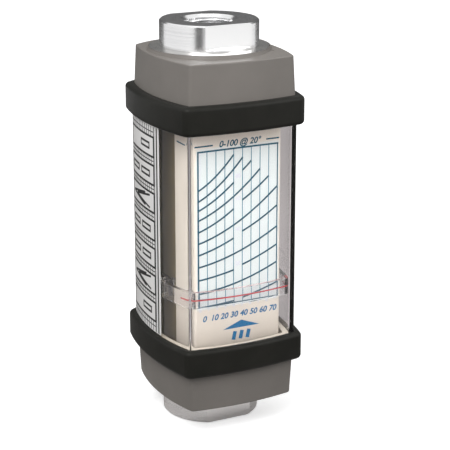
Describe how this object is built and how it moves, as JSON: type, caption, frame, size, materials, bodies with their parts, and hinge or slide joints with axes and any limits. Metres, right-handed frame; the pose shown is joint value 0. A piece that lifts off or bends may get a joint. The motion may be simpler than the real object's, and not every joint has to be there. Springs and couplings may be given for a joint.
{
  "type": "variable-area flow meter",
  "caption": "In-line flow meter: a turned casing with a threaded port at each end, a square clear guard with rubber bands, a printed scale and a follower that slides.",
  "frame": {"origin": "centre of the lower port's face, on the casing's axis", "axes": "+Z along the casing, the way the flow goes; -Y is the front, with the scale; +X is to the right of a reader"},
  "size_m": [0.0608, 0.0687, 0.168],
  "materials": {
    "turned_aluminium": "turned, bright",
    "plain_aluminium": "satin",
    "stainless": "turned",
    "ring_steel": "satin",
    "magnet": "sintered",
    "cap_plastic": "fine matt",
    "band_rubber": "satin",
    "seal_rubber": "moulded",
    "clear_plastic": "polished",
    "label": "printed film",
    "white_plastic": "matt",
    "card": "printed film",
    "red_plastic": "gloss"
  },
  "bodies": {
    "casing": {"casing": "turned_aluminium", "outlet_port": "turned_aluminium", "port_seal": "seal_rubber", "inlet_spider": "plain_aluminium", "outlet_spider": "plain_aluminium", "metering_cone": "stainless", "cone_nut": "stainless", "return_spring": "stainless", "lower_retaining_ring": "ring_steel", "upper_retaining_ring": "ring_steel"},
    "guard": {"lower_end_cap": "cap_plastic", "upper_end_cap": "cap_plastic", "lower_body_seal": "seal_rubber", "upper_body_seal": "seal_rubber", "lower_band": "band_rubber", "upper_band": "band_rubber", "lower_gasket": "seal_rubber", "upper_gasket": "seal_rubber", "window": "clear_plastic", "wrap_label": "label", "scale_support": "white_plastic", "scale_card": "card"},
    "follower": {"follower_ring": "clear_plastic", "indicator_line": "red_plastic", "follower_magnets": "magnet"},
    "piston": {"piston": "plain_aluminium", "orifice_plate": "stainless", "transfer_magnet": "magnet", "magnet_retainer": "stainless"}
  },
  "joints": [
    {"name": "guard_turn", "type": "hinge", "parent": "casing", "child": "guard", "pos_m": [0, 0, 0.084], "axis": [0, 0, 1], "continuous": true},
    {"name": "piston_slide", "type": "slide", "parent": "casing", "child": "piston", "axis": [0, 0, 1], "range_m": [0, 0.06], "stiffness_N_per_m": 60, "springref_m": -0.033, "deforming": ["return_spring"]},
    {"name": "follower_slide", "type": "slide", "parent": "guard", "child": "follower", "axis": [0, 0, 1], "range_m": [0, 0.06]}
  ],
  "couplings": [
    {"joint": "follower_slide", "follows": "piston_slide", "ratio": 1}
  ]
}
